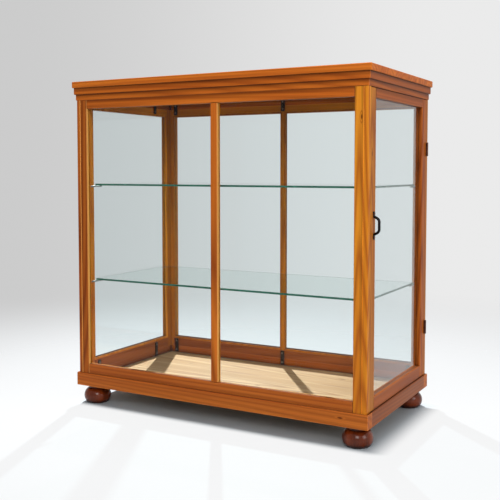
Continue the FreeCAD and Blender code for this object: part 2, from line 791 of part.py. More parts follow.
def hinges(stile_cuts):
    """Two butt hinges between the back stile and the door, let into both."""
    thickness = size.hinge_leaf_thickness
    door_edge = end_rear - size.door_gap
    axis_x = half_width + size.hinge_barrel_radius + size.hinge_running_gap
    axis_y = end_rear - size.door_gap / 2
    third = size.hinge_height / 3
    gap = size.hinge_running_gap
    case_knuckles = [(as_dim(0), third - gap / 2), (third * 2 + gap / 2, third - gap / 2)]
    door_knuckles = [(third + gap / 2, third - gap)]
    case_leaves = []
    door_leaves = []
    pins = []
    case_screws = []
    door_screws = []
    screw_x = half_width - size.hinge_screw_inset
    heights = {"lower_hinge": frame_level + size.hinge_inset, "upper_hinge": cornice_level - size.hinge_inset}
    for name, z in heights.items():
        screw_levels = (z - size.hinge_screw_spacing / 2, z + size.hinge_screw_spacing / 2)
        into_case = [flat_screw(f"{name}_case_screw", screw_x, end_rear + size.screw_length, level, AGAINST_Y)
                     for level in screw_levels]
        into_door = [flat_screw(f"{name}_door_screw", screw_x, door_edge - size.screw_length, level, ALONG_Y)
                     for level in screw_levels]
        case_screws += into_case
        door_screws += into_door
        door_plate = door_edge - thickness
        case_leaves.append(hinge_leaf(f"{name}_case", end_rear, z, axis_x, axis_y, case_knuckles, into_case))
        door_leaves.append(hinge_leaf(f"{name}_door", door_plate, z, axis_x, axis_y, door_knuckles, into_door))
        pins.append(hinge_pin(f"{name}_pin", axis_x, axis_y, z))
        recess_x = half_width - size.hinge_leaf_width
        low = z - size.hinge_height / 2
        for label, y in (("back_right_stile", end_rear), ("door_rear_stile", door_plate)):
            recess = box(f"{name}_recess", size.hinge_leaf_width, thickness, size.hinge_height)
            stile_cuts[label].append(place(recess, recess_x, y, low))
    group("hinge_case_leaves", case_leaves)
    group("hinge_door_leaves", door_leaves)
    group("hinge_pins", pins)
    group("hinge_case_screws", case_screws)
    group("hinge_door_screws", door_screws)


def door_handle():
    """Bow pull: round bar that slopes out from two round plates, each held by a screw."""
    body = new_body("door_handle")
    length = size.handle_length
    reach = size.handle_reach
    bow = size.handle_bow_depth
    rise = size.handle_bow_rise
    bend = arc_radius(bow, rise)
    neck = reach - bow
    neck_rise = neck * (bend - bow) / rise
    bar_low = size.handle_bar_inset
    bar_high = length - size.handle_bar_inset
    grip_rise = neck_rise + rise
    path = [(0, bar_low), (neck, bar_low + neck_rise), (reach, bar_low + grip_rise),
            (reach, bar_high - grip_rise), (neck, bar_high - neck_rise), (0, bar_high)]
    spine = outline(body, "handle_path", "XZ_Plane", path, {1: bend, 3: bend}, closed=False)
    section = outline(body, "handle_section", "YZ_Plane", [], holes=[(0, bar_low, size.handle_bar_radius)])
    bar = body.newObject("PartDesign::AdditivePipe", "handle_bar")
    bar.Profile = section
    bar.Spine = spine
    edge = size.handle_plate_radius
    back = outline(body, "handle_back_shape", "YZ_Plane", [(-edge, 0), (edge, 0), (edge, length), (-edge, length)])
    trim = body.newObject("PartDesign::Pocket", "handle_flat_back")
    trim.Profile = back
    bind(trim, Length=size.handle_bar_radius)
    screw_hole = size.screw_radius + size.screw_clearance
    x = half_width
    y = end_front + size.door_gap + size.handle_stile_inset
    z = frame_level + size.handle_rise - length / 2
    screws = []
    for name, level in (("lower", as_dim(0)), ("upper", length)):
        rim = outline(body, f"{name}_plate_shape", "YZ_Plane", [],
                      holes=[(0, level, size.handle_plate_radius), (0, level, screw_hole)])
        pad(body, f"{name}_plate", rim, size.handle_plate_thickness)
        face = x + size.handle_plate_thickness
        screws.append(wood_screw(f"{name}_handle_screw", face - size.screw_length, y, z + level, ALONG_X))
    keep(place(body, x, y, z), "door_handle")
    group("handle_screws", screws)


foot_places = feet()
base_and_floor(foot_places)
plain_stiles = glazed_frames()
stile_cuts = {label: [] for label in plain_stiles}
door_stop()
cornice_and_top()
shelves(stile_cuts)
straps()
hinges(stile_cuts)
for label, plain_stile in plain_stiles.items():
    keep(cut(label, plain_stile, join(f"{label}_cuts", stile_cuts[label])), label)
door_handle()
doc.recompute()

failed = [piece.Label for piece in doc.Objects if {"Invalid", "Error"} & set(piece.State)]
if failed:
    raise RuntimeError(f"these did not build: {failed}")
for piece in subparts:
    if piece.Shape.isNull() or not piece.Shape.isValid() or not piece.Shape.Solids:
        raise RuntimeError(f"{piece.Label} has no sound shape")

os.makedirs("parts", exist_ok=True)
for piece in subparts:
    piece.Shape.exportStep(f"parts/{piece.Label}.step")
    print(f"{piece.Label}: {len(piece.Shape.Solids)} solids, {piece.Shape.Volume / 1000:.1f} cm3")
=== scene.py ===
# %% [markdown]
# A glazed display case in varnished pine
#
# The case is a box of thin pine frames around large panes of glass. It stands on four bun feet,
# holds two glass shelves and opens at its right end, where a glazed door hangs on two butt hinges.
# The construction comes in as a fixed frame of CAD pieces. This lesson gives each piece its finish,
# sets a pale studio around the case and points a camera at it, as for a catalogue.

# %% Load the frame
import math

import bpy
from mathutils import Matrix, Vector


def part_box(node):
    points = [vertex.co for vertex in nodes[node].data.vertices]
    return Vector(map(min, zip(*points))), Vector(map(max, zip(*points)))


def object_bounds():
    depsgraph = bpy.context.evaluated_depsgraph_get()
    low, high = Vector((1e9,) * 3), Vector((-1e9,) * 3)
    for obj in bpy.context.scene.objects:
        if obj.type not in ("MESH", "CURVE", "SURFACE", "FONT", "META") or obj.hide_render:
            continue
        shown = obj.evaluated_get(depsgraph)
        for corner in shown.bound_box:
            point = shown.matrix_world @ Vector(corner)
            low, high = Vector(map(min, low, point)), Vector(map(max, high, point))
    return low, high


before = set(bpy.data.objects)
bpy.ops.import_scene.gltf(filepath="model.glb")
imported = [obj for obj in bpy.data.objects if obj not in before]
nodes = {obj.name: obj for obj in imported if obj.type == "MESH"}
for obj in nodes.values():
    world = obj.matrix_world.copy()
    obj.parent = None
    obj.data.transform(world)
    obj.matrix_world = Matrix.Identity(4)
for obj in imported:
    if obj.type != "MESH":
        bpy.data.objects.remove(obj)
cad_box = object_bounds()
bpy.ops.object.select_all(action="DESELECT")

# %% [markdown]
# Small tools for finishes
#
# Every finish below is a tree of nodes around one Principled shader. A few short helpers keep the
# trees readable. The first two are for colours: one turns a colour picked in an image editor into
# the linear numbers that a shader wants, and one makes it darker or paler. The others feed a node's
# inputs, add a node, start a finish and dress a piece with it.

# %% Colours, nodes and pieces
def tone(red, green, blue):
    """A colour in an image editor's 0 to 255, as linear numbers with full alpha."""
    channels = [value / 255 for value in (red, green, blue)]
    linear = [c / 12.92 if c <= 0.04045 else ((c + 0.055) / 1.055) ** 2.4 for c in channels]
    return (*linear, 1.0)


def scaled(colour, factor, lift=0.0):
    """A linear colour made darker or paler, with full alpha."""
    channels = [min(1.0, channel * factor + lift) for channel in colour[:3]]
    return (*channels, 1.0)


def feed(tree, node, inputs):
    """Give each input a plain value, or a link if it is given a socket."""
    for name, value in inputs.items():
        if isinstance(value, bpy.types.NodeSocket):
            tree.links.new(value, node.inputs[name])
        else:
            node.inputs[name].default_value = value


def add(tree, kind, inputs=None, **settings):
    """Add a node with its settings and feed its inputs."""
    node = tree.nodes.new(f"ShaderNode{kind}")
    for name, value in settings.items():
        setattr(node, name, value)
    feed(tree, node, inputs or {})
    return node


def new_finish(name):
    """A new material, with its tree and its Principled shader."""
    material = bpy.data.materials.new(name)
    material.use_nodes = True
    tree = material.node_tree
    return material, tree, tree.nodes["Principled BSDF"]


def dress(node, material):
    """Put one material on a whole CAD piece."""
    mesh = nodes[node].data
    mesh.materials.clear()
    mesh.materials.append(material)


print("helpers for colours, nodes and pieces ready")

# %% [markdown]
# Nodes that come back
#
# Most trees are built from the same few nodes: sums, ranges, mixes, noises and mapped coordinates.
# Each gets a short function that adds the node and hands back its result, so a pattern reads like a
# formula. All patterns on the case read Object coordinates. Each piece sits at the origin with its
# place in its mesh, so a pattern has its true scale in metres everywhere.

# %% Common nodes
GIVES_A_NUMBER = ("DOT_PRODUCT", "LENGTH")


def calc(tree, operation, *values):
    """The result of a Math node."""
    return add(tree, "Math", dict(enumerate(values)), operation=operation).outputs[0]


def vector_calc(tree, operation, *values):
    """The result of a Vector Math node."""
    result = "Value" if operation in GIVES_A_NUMBER else "Vector"
    node = add(tree, "VectorMath", dict(enumerate(values)), operation=operation)
    return node.outputs[result]


def axis_of(tree, vector, axis):
    """One of the three numbers of a vector."""
    return add(tree, "SeparateXYZ", {0: vector}).outputs[axis]


def ranged(tree, value, span, to=(0.0, 1.0), smooth=False):
    """A number taken from one span to another and held at its ends."""
    limits = {"From Min": span[0], "From Max": span[1], "To Min": to[0], "To Max": to[1]}
    easing = "SMOOTHSTEP" if smooth else "LINEAR"
    node = add(tree, "MapRange", {"Value": value, **limits}, interpolation_type=easing)
    return node.outputs["Result"]


def between(tree, share, first, second):
    """Two numbers mixed by a share."""
    return add(tree, "Mix", {0: share, 2: first, 3: second}).outputs[0]


def blend(tree, share, first, second, kind="MIX"):
    """Two colours mixed by a share."""
    inputs = {0: share, 6: first, 7: second}
    return add(tree, "Mix", inputs, data_type="RGBA", blend_type=kind).outputs[2]


def shaded(tree, colour, shade):
    """A colour multiplied by a shade of grey."""
    return blend(tree, 1.0, colour, shade, "MULTIPLY")


def mapped(tree, place, location, scale):
    """Coordinates that are scaled and then moved."""
    return add(tree, "Mapping", {"Vector": place, "Location": location, "Scale": scale}).outputs[0]


def noise(tree, place, scale, detail, **others):
    """A noise between zero and one."""
    inputs = {"Vector": place, "Scale": scale, "Detail": detail, **others}
    return add(tree, "TexNoise", inputs).outputs["Fac"]


print("helpers for common nodes ready")

# %% [markdown]
# Growth rings
#
# Sawn pine shows narrow dark lines of late wood, close together where the saw met the rings steeply
# and in wide arches where it grazed them. Contour lines do the same on a map, so the rings here are
# the contours of a smooth noise that is drawn out along the grain: the noise is multiplied, and a
# ping-pong folds it into lines. Where a branch grew, the rings bend around the knot, so a knot
# first lifts the noise like a hill, and the contours then run round it. Slow changes of colour
# along the plank lie under the lines.

# %% Rings and knots
RING_SCALE = 5.5
FOLD = 0.5
LINE_SPAN = (0.12, FOLD)
SLOW_SCALE = 22.0
SLOW_SPAN = (0.36, 0.64)
KNOT_SIZE = (0.006, 0.02)
KNOT_LIFT = 0.03
HEART_SPAN = (0.45, 0.85)
HEART_SHARE = 0.9
HEART_SHADE = 0.25


def along(grain, lengthwise, across):
    """Three numbers for X, Y and Z, with one of them for the grain's axis."""
    return tuple(lengthwise if axis == grain else across for axis in "XYZ")


def knot_hill(tree, place, grain, knots):
    """One at the heart of a knot and zero outside it, or None for clear wood."""
    hill = None
    wide, long = KNOT_SIZE
    scale = Vector(along(grain, 1 / long, 1 / wide))
    for knot in knots:
        centred = mapped(tree, place, -scale * Vector(knot), scale)
        ball = add(tree, "TexGradient", {"Vector": centred}, gradient_type="SPHERICAL")
        spot = ball.outputs["Fac"]
        hill = spot if hill is None else calc(tree, "MAXIMUM", hill, spot)
    return hill


def ring_lines(tree, plank, hill, count):
    """Late wood as lines: zero between the rings and one in the middle of a dark line."""
    height = noise(tree, plank, RING_SCALE, detail=1.5, Roughness=0.4)
    if hill is not None:
        height = calc(tree, "MULTIPLY_ADD", hill, KNOT_LIFT, height)
    many = calc(tree, "MULTIPLY", height, count)
    return ranged(tree, calc(tree, "PINGPONG", many, FOLD), LINE_SPAN)


def plank_colour(tree, plank, hill, tones, rings, late):
    """Early wood between two tones, with dark lines of late wood and the hearts of knots."""
    light, middle, dark = tones
    slow = noise(tree, plank, SLOW_SCALE, detail=3.0)
    early = blend(tree, ranged(tree, slow, SLOW_SPAN), middle, light)
    late_share = calc(tree, "MULTIPLY", ring_lines(tree, plank, hill, rings), late)
    wood = blend(tree, late_share, early, dark)
    if hill is None:
        return wood
    heart = ranged(tree, hill, HEART_SPAN, (0.0, HEART_SHARE))
    return blend(tree, heart, wood, scaled(dark, HEART_SHADE))


print(f"knots are {KNOT_SIZE[0] * 2000:.0f} by {KNOT_SIZE[1] * 2000:.0f} mm")

# %% [markdown]
# Wear, dirt and painted light
#
# Dirt and old varnish gather in every inside corner, and shade falls there too, so an Ambient
# Occlusion node looks a few millimetres around and darkens the wood, as dirt and painted shade.
# On the outside corners it is the other way round: hands rub the varnish thin and a rounded arris
# catches light, so the arrises are paler, partly rubbed and partly a painted highlight. A Bevel
# node rounds the look of an arris, and where its normal leaves the face's own, there is the pale
# line. Two more marks are placed by measure: a painted shadow under the ledges of the cornice, and
# along the front posts a painted highlight on a fine line with painted shade on its inner side.

# %% Wear, dirt and painted light
LOOKS_AROUND = 4
PALE_ARRIS_RADIUS = 0.0024
PALE_ARRIS_SPAN = (0.995, 0.8)
PALE_ARRIS_TONE = (1.5, 0.04)
CORNER_SPAN = (0.55, 0.92)
LEDGE_DEPTH = 0.014
LEDGE_SHADE = 0.48
BEAD_SHADE_REACH = 0.011
BEAD_SHADE = 0.6
BEAD_HALF_WIDTH = 0.0016
BEAD_HIGHLIGHT = 1.5


def bevelled(tree, radius):
    """The normal of a surface whose arrises look rounded."""
    return add(tree, "Bevel", {"Radius": radius}, samples=LOOKS_AROUND).outputs["Normal"]


def rub_and_light_arrises(tree, colour, light, arris_paling):
    """Paler wood along the arrises: partly rubbed varnish, partly a painted highlight."""
    face = add(tree, "NewGeometry").outputs["Normal"]
    level = vector_calc(tree, "DOT_PRODUCT", bevelled(tree, PALE_ARRIS_RADIUS), face)
    pale_share = ranged(tree, level, PALE_ARRIS_SPAN, (0.0, arris_paling))
    return blend(tree, pale_share, colour, scaled(light, *PALE_ARRIS_TONE))


def darken_corners(tree, colour, corner_darkening):
    """Darker wood in the inside corners: painted shade, and soiled joints."""
    reach, left_over = corner_darkening
    # Ambient occlusion darkens the colour: painted shade in corners and under ledges, and soiled
    # joints.
    corner = add(tree, "AmbientOcclusion", {"Distance": reach}, samples=LOOKS_AROUND)
    darkening = ranged(tree, corner.outputs["AO"], CORNER_SPAN, (left_over, 1.0))
    return shaded(tree, colour, darkening)


def paint_ledge_shadows(tree, colour, place, ledge):
    """A painted shadow: darker wood for a few millimetres under each ledge."""
    top, spacing = ledge
    below = calc(tree, "SUBTRACT", top, axis_of(tree, place, "Z"))
    under = calc(tree, "MODULO", below, spacing)
    ledge_shadow = ranged(tree, under, (0.0, LEDGE_DEPTH), (LEDGE_SHADE, 1.0), smooth=True)
    return shaded(tree, colour, ledge_shadow)


def paint_bead_light_and_shade(tree, colour, place, bead_line):
    """A painted highlight on a line at a distance from the middle of the case, with painted shade
    on its inner side.
    """
    from_middle = calc(tree, "ABSOLUTE", axis_of(tree, place, "X"))
    inwards = calc(tree, "SUBTRACT", bead_line, from_middle)
    shaded_side = ranged(tree, inwards, (0.0, BEAD_SHADE_REACH), (BEAD_SHADE, 1.0))
    outside = calc(tree, "LESS_THAN", inwards, 0.0)
    shade = between(tree, outside, shaded_side, 1.0)
    line = calc(tree, "COMPARE", inwards, 0.0, BEAD_HALF_WIDTH)
    return shaded(tree, colour, between(tree, line, shade, BEAD_HIGHLIGHT))


print(f"arrises are rubbed over {PALE_ARRIS_RADIUS * 1000:.1f} mm")
print(f"ledges are dark over {LEDGE_DEPTH * 1000:.0f} mm")

# %% [markdown]
# Varnished pine
#
# The finish puts these together. Fine fibres lie over the rings. They shade the colour, roughen the
# surface and give a little relief, and a clear coat stands for the varnish. A plank is taken from
# somewhere else in the same noise by a seed, so no two boards look alike.

# %% Pine finish
STRETCH = 0.045
FIBRE_STRETCH = 0.012
PLANK_SHIFT = (0.71, 1.13, 0.37)
FIBRE_SCALE = 330.0
FIBRE_SPAN = (0.25, 0.75)
FIBRE_DARKER = 0.16
FIBRE_PALER = 0.08
LIT_SIDE_SPAN = (0.5, 0.85)
LIT_SIDE_SHARE = 0.85
SHEEN_SPAN = (0.3, 0.7)
WOOD_SHEEN = (-0.05, 0.1)
WOOD_ARRIS = 0.0009
WOOD_RELIEF = (0.25, 0.0003)
WOOD_SPECULAR = 0.08
VARNISH_ROUGHNESS = 0.16


def relief(tree, height, arris, bump):
    """A normal with softened arrises and a fine relief; the bump is a strength and a depth."""
    strength, depth = bump
    raised = {"Strength": strength, "Distance": depth, "Height": height}
    return add(tree, "Bump", {**raised, "Normal": bevelled(tree, arris)}).outputs["Normal"]


def pine(name, grain, tones, seed, knots=(), rings=34.0, gloss=0.42, coat=0.03, fibre=1.0,
         late=0.65, corner_darkening=(0.014, 0.2), arris_paling=0.7, ledge=None, bead_line=None, edge=None):
    """Varnished pine with its grain along an axis; the seed takes it from another plank.

    Late is the depth of the dark lines. The corner darkening is how far the darker wood reaches out
    of a corner, in metres, and how much light it leaves there; it stands for painted shade and for
    soiled joints. The arris paling is how pale the arrises get, partly rubbed varnish and partly a
    painted highlight. A ledge is a level and a distance down to the next one; a painted shadow
    darkens the wood for a few millimetres under each. A bead line is a distance from the middle of
    the case, with a painted highlight on it and painted shade beside it. An edge is the paler tone
    of the sides towards the door, which is painted light from the right.
    """
    material, tree, shader = new_finish(name)
    coordinates = add(tree, "TexCoord").outputs
    place = coordinates["Object"]
    shift = tuple(seed * step for step in PLANK_SHIFT)
    plank = mapped(tree, place, shift, along(grain, STRETCH, 1.0))
    thread = mapped(tree, place, shift, along(grain, FIBRE_STRETCH, 1.0))

    hill = knot_hill(tree, place, grain, knots)
    colour = plank_colour(tree, plank, hill, tones, rings, late)
    fibres = noise(tree, thread, FIBRE_SCALE, detail=3.0, Roughness=0.65)
    fibre_tones = (1.0 - FIBRE_DARKER * fibre, 1.0 + FIBRE_PALER * fibre)
    colour = shaded(tree, colour, ranged(tree, fibres, FIBRE_SPAN, fibre_tones))
    # Faces turned towards the door get a paler tone: painted light from the right.
    if edge is not None:
        sideways = axis_of(tree, coordinates["Normal"], "X")
        lit_side = ranged(tree, sideways, LIT_SIDE_SPAN, (0.0, LIT_SIDE_SHARE))
        colour = blend(tree, lit_side, colour, edge)
    # Paler arrises: rubbed varnish and a painted highlight.
    colour = rub_and_light_arrises(tree, colour, tones[0], arris_paling)
    colour = darken_corners(tree, colour, corner_darkening)
    # Painted shadow under the ledges of the cornice, and under the cornice on the top rails.
    if ledge is not None:
        colour = paint_ledge_shadows(tree, colour, place, ledge)
    # A painted highlight along a fine line, with painted shade on its inner side.
    if bead_line is not None:
        colour = paint_bead_light_and_shade(tree, colour, place, bead_line)

    feed(tree, shader, {
        "Base Color": colour,
        "Roughness": ranged(tree, fibres, SHEEN_SPAN, [gloss + step for step in WOOD_SHEEN]),
        "Normal": relief(tree, fibres, WOOD_ARRIS, WOOD_RELIEF),
        "Specular IOR Level": WOOD_SPECULAR,
        "Coat Weight": coat,
        "Coat Roughness": VARNISH_ROUGHNESS,
    })
    return material


print("pine finish ready")

# %% [markdown]
# Tones of the boards
#
# The case was built from planks of different colour and then varnished all over: the front posts
# are the brightest, the rails, base and cornice are a deeper orange-brown, and the ends are redder.
# A plank has three tones, for the palest and the deepest early wood and for the dark lines.

# %% Tones
HONEY = (tone(234, 148, 38), tone(215, 125, 31), tone(168, 80, 21))
OLD_HONEY = (tone(202, 123, 39), tone(183, 105, 31), tone(143, 67, 22))
DOOR_HONEY = (tone(206, 130, 34), tone(189, 110, 28), tone(148, 70, 19))
BRIGHT_AMBER = (tone(226, 124, 38), tone(203, 101, 28), tone(142, 57, 16))
AMBER = (tone(214, 116, 36), tone(191, 94, 26), tone(134, 53, 15))
DEEP_AMBER = (tone(206, 114, 42), tone(183, 93, 32), tone(127, 51, 18))
CHESTNUT = (tone(190, 102, 32), tone(169, 83, 23), tone(118, 47, 13))
RUSSET = (tone(184, 97, 35), tone(166, 82, 28), tone(119, 50, 18))
UMBER = (tone(166, 90, 41), tone(148, 76, 33), tone(106, 46, 21))
INNER = (tone(166, 92, 44), tone(145, 73, 33), tone(105, 48, 22))
# A pale tone for the sides of two uprights that face the door: painted light from the right.
LIT_SIDE_TONE = tone(246, 178, 92)
UPRIGHTS = {
    # The left front post takes a darker plank: partly its own colour, partly painted shade for the
    # dimmer left end.
    "front_left_stile": CHESTNUT, "front_right_stile": HONEY, "front_mullion": AMBER,
    "back_left_stile": OLD_HONEY, "back_right_stile": OLD_HONEY, "back_mullion": OLD_HONEY,
    "left_front_stile": HONEY, "left_rear_stile": OLD_HONEY,
    "door_front_stile": DOOR_HONEY, "door_rear_stile": CHESTNUT, "door_stop": AMBER,
    "front_glazing_beads": HONEY, "back_glazing_beads": OLD_HONEY, "left_glazing_beads": HONEY,
    "door_glazing_beads": RUSSET,
}
LONG_BOARDS = {
    "front_top_rail": AMBER, "front_bottom_rail": DEEP_AMBER,
    # The back top rail takes a pale plank as painted light, for light bounced up inside the case.
    "back_top_rail": HONEY, "back_bottom_rail": INNER,
    "base_front_board": DEEP_AMBER, "base_back_board": DEEP_AMBER,
    "cornice_front": AMBER, "cornice_back": AMBER, "top_board": BRIGHT_AMBER,
}
END_BOARDS = {
    "left_top_rail": HONEY, "left_bottom_rail": INNER,
    "door_top_rail": RUSSET, "door_bottom_rail": RUSSET,
    "base_left_board": UMBER, "base_right_board": UMBER,
    "cornice_left": RUSSET, "cornice_right": RUSSET,
}
print(f"{len(UPRIGHTS)} uprights, {len(LONG_BOARDS)} long and {len(END_BOARDS)} end boards listed")

# %% [markdown]
# Boards of the case
#
# Each board gets a plank of its own, which is the same recipe with another seed, with the grain
# along the board. A few boards have knots, at the places where they are seen on the real case. The
# ledges, under which a shadow is painted, are read from the cornice, which has two steps, and the
# top rails lie under its lower edge and get a painted shadow too.

# %% Boards
SEED_STEP = 1.37
UPRIGHT_LOOK = {"rings": 56.0, "late": 0.75, "corner_darkening": (0.004, 0.7), "arris_paling": 0.25}
BOARD_LOOK = {"fibre": 1.4, "late": 0.42}
CORNICE_STEPS = 2
ONE_LEDGE = 1.0
KNOTS = {
    "front_right_stile": [(0.480, -0.2625, 0.905)],
    "door_front_stile": [(0.500, -0.234, 0.807)],
    "base_front_board": [(0.425, -0.268, 0.084)],
    "cornice_front": [(-0.123, -0.270, 1.000)],
}
# The front posts get a painted highlight along a fine line, with painted shade beside it.
BEAD_LINES = dict.fromkeys(("front_left_stile", "front_right_stile"), 0.486)
# Painted light from the right on the door-facing sides of these uprights.
LIT_SIDE_EDGES = dict.fromkeys(("front_left_stile", "front_mullion"), LIT_SIDE_TONE)
cornice_low, cornice_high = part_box("cornice_front")
cornice_step = (cornice_high[2] - cornice_low[2]) / CORNICE_STEPS
cornice_boards = ("cornice_front", "cornice_back", "cornice_left", "cornice_right")
# Painted shadow: the levels and spacing of the ledges under which the wood is darkened.
LEDGES = dict.fromkeys(cornice_boards, (cornice_high[2], cornice_step))
LEDGES.update(dict.fromkeys(("front_top_rail", "door_top_rail"), (cornice_low[2], ONE_LEDGE)))
BOARDS = (
    ("Z", UPRIGHTS, UPRIGHT_LOOK),
    ("X", LONG_BOARDS, BOARD_LOOK),
    ("Y", END_BOARDS, BOARD_LOOK),
)
seed = 0.0
for grain, boards, look in BOARDS:
    for node, tones in boards.items():
        seed += SEED_STEP
        marks = {
            "knots": KNOTS.get(node, ()),
            "ledge": LEDGES.get(node),
            "bead_line": BEAD_LINES.get(node),
            "edge": LIT_SIDE_EDGES.get(node),
        }
        dress(node, pine(f"pine_{node}", grain, tones, seed, **look, **marks))
print(f"{sum(len(boards) for grain, boards, look in BOARDS)} boards finished")

# %% [markdown]
# Floor panel
#
# The floor is pale pine that was never stained, with small dark knots and almost no gloss.

# %% Floor panel
STRAW = (tone(208, 172, 130), tone(192, 154, 109), tone(148, 101, 64))
FLOOR_SEED = 57.0
FLOOR_KNOTS = ((-0.30, 0.10), (0.05, -0.05), (0.26, 0.15), (0.38, -0.12))
floor_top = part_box("floor_panel")[1][2]
floor_knots = [(x, y, floor_top) for x, y in FLOOR_KNOTS]
floor_look = {"rings": 46.0, "gloss": 0.5, "coat": 0.0}
dress("floor_panel", pine("pine_floor_panel", "X", STRAW, FLOOR_SEED, floor_knots, **floor_look))
print(f"floor panel finished, its top is at {floor_top * 1000:.1f} mm")

# %% [markdown]
# Bun feet
#
# The feet were turned on a lathe with upright grain, stained to a dark red-brown and polished, so
# their tones lie close together and their varnish is the glossiest on the case.

# %% Feet
MAHOGANY = (tone(124, 50, 15), tone(98, 37, 11), tone(68, 24, 7))
FOOT_LOOK = {"rings": 11.0, "gloss": 0.25, "coat": 0.4, "fibre": 0.6}
FEET = ("front_left_foot", "front_right_foot", "rear_left_foot", "rear_right_foot")
for node in FEET:
    seed += SEED_STEP
    dress(node, pine(f"stain_{node}", "Z", MAHOGANY, seed, **FOOT_LOOK))
print(f"{len(FEET)} feet finished")

# %% [markdown]
# Glass
#
# A pane is a slab with two faces, so a Principled shader with full transmission bends and mirrors
# light as float glass does. Light from lamps doesn't get through it without slow caustics, so rays
# that look for a lamp meet a Transparent shader instead. Iron makes glass green where light runs
# far inside it, which Volume Absorption does. The edges of the shelves were ground, so they scatter
# that green light: there, where the face stands upright, the shader lets less light through and
# shows the green itself, which is deeper at the ends, where light has run along the whole shelf.

# %% Panes and shelves
GLASS_IOR = 1.5
UPRIGHT_BELOW = 0.5
EDGE_THROUGH = 0.3
FACE_SPECULAR = 0.5
EDGE_SPECULAR = 0.08
WIPING_SCALE = 4.0
FILM_SPAN = (0.45, 0.75)
FILM_ROUGHNESS = 0.02


def ground_edges(tree, normal, tint, tones):
    """Inputs for a slab with ground edges; the tones are for its sides and its ends."""
    facing = add(tree, "SeparateXYZ", {0: vector_calc(tree, "ABSOLUTE", normal)}).outputs
    edge = calc(tree, "LESS_THAN", facing["Z"], UPRIGHT_BELOW)
    green = blend(tree, facing["X"], *tones)
    return {
        "Base Color": blend(tree, edge, tint, green),
        "Transmission Weight": ranged(tree, edge, (0.0, 1.0), (1.0, EDGE_THROUGH)),
        "Specular IOR Level": ranged(tree, edge, (0.0, 1.0), (FACE_SPECULAR, EDGE_SPECULAR)),
    }


def float_glass(name, tint, mirror, absorption, edge_tones=None):
    """Clear glass with a faint film of wiping marks; it takes colour with depth."""
    material, tree, shader = new_finish(name)
    coordinates = add(tree, "TexCoord").outputs
    wiping = noise(tree, coordinates["Object"], WIPING_SCALE, detail=4.0, Distortion=1.5)
    feed(tree, shader, {
        "Base Color": tint,
        "Transmission Weight": 1.0,
        "IOR": GLASS_IOR,
        "Specular Tint": (mirror, mirror, mirror, 1.0),
        "Roughness": ranged(tree, wiping, FILM_SPAN, (0.0, FILM_ROUGHNESS)),
    })
    if edge_tones is not None:
        feed(tree, shader, ground_edges(tree, coordinates["Normal"], tint, edge_tones))
    to_lamp = add(tree, "LightPath").outputs["Is Shadow Ray"]
    clear = add(tree, "BsdfTransparent", {"Color": tint}).outputs["BSDF"]
    mixed = add(tree, "MixShader", {0: to_lamp, 1: shader.outputs["BSDF"], 2: clear}).outputs[0]
    green, density = absorption
    depth = add(tree, "VolumeAbsorption", {"Color": green, "Density": density}).outputs[0]
    feed(tree, tree.nodes["Material Output"], {"Surface": mixed, "Volume": depth})
    return material


PALE_GREEN = (tone(120, 200, 185), 6.0)
DEEP_GREEN = (tone(80, 190, 165), 14.0)
GROUND_GREEN = (tone(62, 122, 102), tone(48, 108, 89))
PANE_TINT = (0.93, 0.96, 0.965, 1.0)
DOOR_TINT = (0.85, 0.89, 0.90, 1.0)
SHELF_TINT = (0.97, 0.99, 0.985, 1.0)
pane_glass = float_glass("pane_glass", PANE_TINT, mirror=0.12, absorption=PALE_GREEN)
door_glass = float_glass("door_pane_glass", DOOR_TINT, mirror=0.35, absorption=PALE_GREEN)
shelf_glass = float_glass("shelf_glass", SHELF_TINT, mirror=0.8, absorption=DEEP_GREEN,
                          edge_tones=GROUND_GREEN)
panes = [node for node in nodes if node.endswith("_glass")]
shelves = [node for node in nodes if node.endswith("_shelf")]
for node in panes:
    dress(node, door_glass if node == "door_glass" else pane_glass)
for node in shelves:
    dress(node, shelf_glass)
print(f"{len(panes)} panes and {len(shelves)} shelves glazed")

# %% [markdown]
# Metal
#
# The straps and hinges are steel that has gone dark brown, and the screws in the straps are worn
# paler. The pull is cast iron under black lacquer, its screws are bronzed and the shelf pins are
# dull steel. All of them are mottled: one noise mixes two tones, and it also varies the gloss and
# lifts the surface a little.

# %% Straps, hinges, pull and pins
MOTTLE = 170.0
MOTTLE_SPAN = (0.35, 0.7)
METAL_SHEEN = (-0.06, 0.12)
METAL_ARRIS = 0.0004
METAL_RELIEF = (0.2, 0.0002)


def metal(name, tones, gloss, metallic):
    """Mottled metal between two tones."""
    material, tree, shader = new_finish(name)
    place = add(tree, "TexCoord").outputs["Object"]
    spots = noise(tree, place, MOTTLE, detail=5.0, Roughness=0.65)
    feed(tree, shader, {
        "Base Color": blend(tree, ranged(tree, spots, MOTTLE_SPAN), *tones),
        "Roughness": ranged(tree, spots, SHEEN_SPAN, [gloss + step for step in METAL_SHEEN]),
        "Normal": relief(tree, spots, METAL_ARRIS, METAL_RELIEF),
        "Metallic": metallic,
    })
    return material


